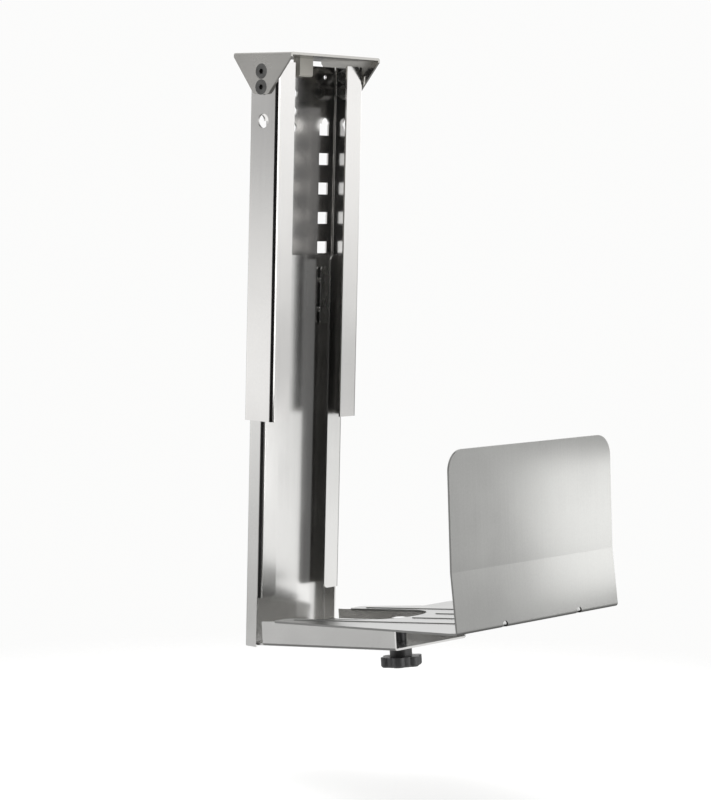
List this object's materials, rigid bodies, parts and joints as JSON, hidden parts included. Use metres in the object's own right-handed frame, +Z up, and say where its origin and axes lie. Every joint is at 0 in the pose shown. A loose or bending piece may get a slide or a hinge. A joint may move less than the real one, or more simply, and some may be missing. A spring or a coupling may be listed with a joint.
{
  "type": "cpu holder",
  "caption": "Under-desk computer holder: eared bracket, nested sliding channels with a slotted back, rising arm, and a clamped tray with an upturned side plate.",
  "frame": {"origin": "on the bracket's top face, the face against the desk, above the outer channel's back and midway across it", "axes": "+X from the upright towards the side plate, +Y across the holder, +Z up"},
  "size_m": [0.3479, 0.251, 0.6012],
  "materials": {
    "bracket_steel": "satin",
    "channel_steel": "fine satin",
    "frame_steel": "bright satin",
    "tray_steel": "fine satin",
    "screw_steel": "dark burnished",
    "bright_steel": "bright",
    "black_plastic": "fine texture",
    "beige_plastic": "satin",
    "pad_plastic": "smooth",
    "brass": "turned"
  },
  "bodies": {
    "bracket": {"top_bracket": "bracket_steel", "outer_channel": "channel_steel", "ear_screws": "screw_steel", "ear_nuts": "bright_steel", "stop_block": "beige_plastic"},
    "drop": {"drop_frame": "frame_steel", "guide_pads": "pad_plastic", "spacer_sleeve": "black_plastic", "clamp_stud": "bright_steel", "clamp_washer": "bright_steel"},
    "locks": {"height_locks": "bright_steel"},
    "tray": {"tray": "tray_steel", "slide_rail": "bright_steel"},
    "knob": {"clamp_knob": "black_plastic", "knob_insert": "brass"}
  },
  "joints": [
    {"name": "height_slide", "type": "slide", "parent": "bracket", "child": "drop", "axis": [0, 0, 1], "range_m": [-0.09, 0.12]},
    {"name": "lock_press", "type": "slide", "parent": "drop", "child": "locks", "axis": [-1, 0, 0], "range_m": [0, 0.002]},
    {"name": "width_slide", "type": "slide", "parent": "drop", "child": "tray", "axis": [0.994, 0, 0.1097], "range_m": [0, 0.08]},
    {"name": "knob_turn", "type": "hinge", "parent": "drop", "child": "knob", "pos_m": [0.15794, 0, -0.58294], "axis": [-0.1097, 0, 0.994], "continuous": true}
  ]
}
